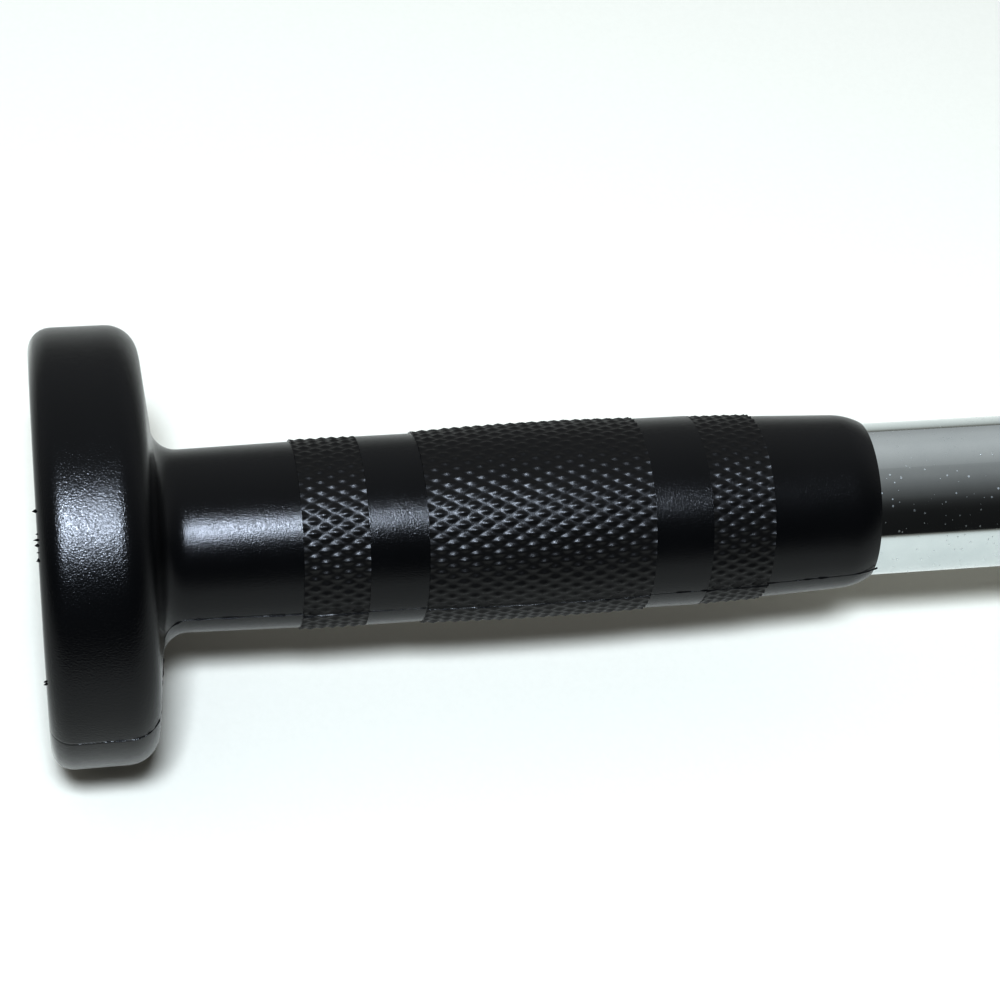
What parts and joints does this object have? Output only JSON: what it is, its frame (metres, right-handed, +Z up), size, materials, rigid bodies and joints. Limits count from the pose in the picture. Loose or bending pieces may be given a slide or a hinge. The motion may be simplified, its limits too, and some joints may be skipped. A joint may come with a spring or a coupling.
{
  "type": "pull up bar",
  "caption": "Telescopic doorway pull up bar: chromed tubes that screw apart between round foot discs, each moulded in one piece with a knurled black hand grip.",
  "frame": {"origin": "centre of the left foot's contact face", "axes": "+X along the bar from the left foot to the right foot, +Z up as the bar lies, +Y away from the viewer"},
  "size_m": [0.75, 0.0764, 0.0764],
  "materials": {
    "grip_pvc": "satin black soft PVC with a fine grain",
    "pad_rubber": "matt black ribbed rubber",
    "chrome_tube": "bright plated steel tube with fine specks",
    "zinc_steel": "bright zinc plate",
    "spindle_steel": "oiled turned steel",
    "dark_nylon": "moulded black nylon",
    "nylon": "moulded natural nylon"
  },
  "bodies": {
    "left_foot": {"left_grip": "grip_pvc", "left_face_pad": "pad_rubber", "left_backing_plate": "zinc_steel", "left_pivot_bolt": "zinc_steel", "left_thrust_washer": "nylon", "left_end_washer": "zinc_steel", "left_lock_nut": "zinc_steel"},
    "outer_bar": {"outer_tube": "chrome_tube", "outer_end_plug": "dark_nylon", "spindle_anchor": "spindle_steel", "spindle_pin": "spindle_steel", "spindle": "spindle_steel", "spindle_stop_washer": "zinc_steel", "spindle_stop_nut": "zinc_steel", "mouth_collar": "dark_nylon"},
    "inner_bar": {"inner_tube": "chrome_tube", "spindle_nut": "spindle_steel", "nut_rivets": "zinc_steel", "reducer_sleeve": "nylon", "inner_end_plug": "dark_nylon", "right_grip": "grip_pvc", "right_face_pad": "pad_rubber", "right_backing_plate": "zinc_steel", "right_clamp_bolt": "zinc_steel", "right_lock_washer": "zinc_steel", "right_lock_nut": "zinc_steel"}
  },
  "joints": [
    {"name": "tube_turn", "type": "hinge", "parent": "left_foot", "child": "outer_bar", "pos_m": [0.053, 0, 0], "axis": [1, 0, 0], "range_deg": [-9000, 18000]},
    {"name": "extension", "type": "slide", "parent": "left_foot", "child": "inner_bar", "axis": [1, 0, 0], "range_m": [-0.1, 0.2]}
  ],
  "couplings": [
    {"joint": "tube_turn", "follows": "extension", "rad_per_m": 1570.8}
  ]
}
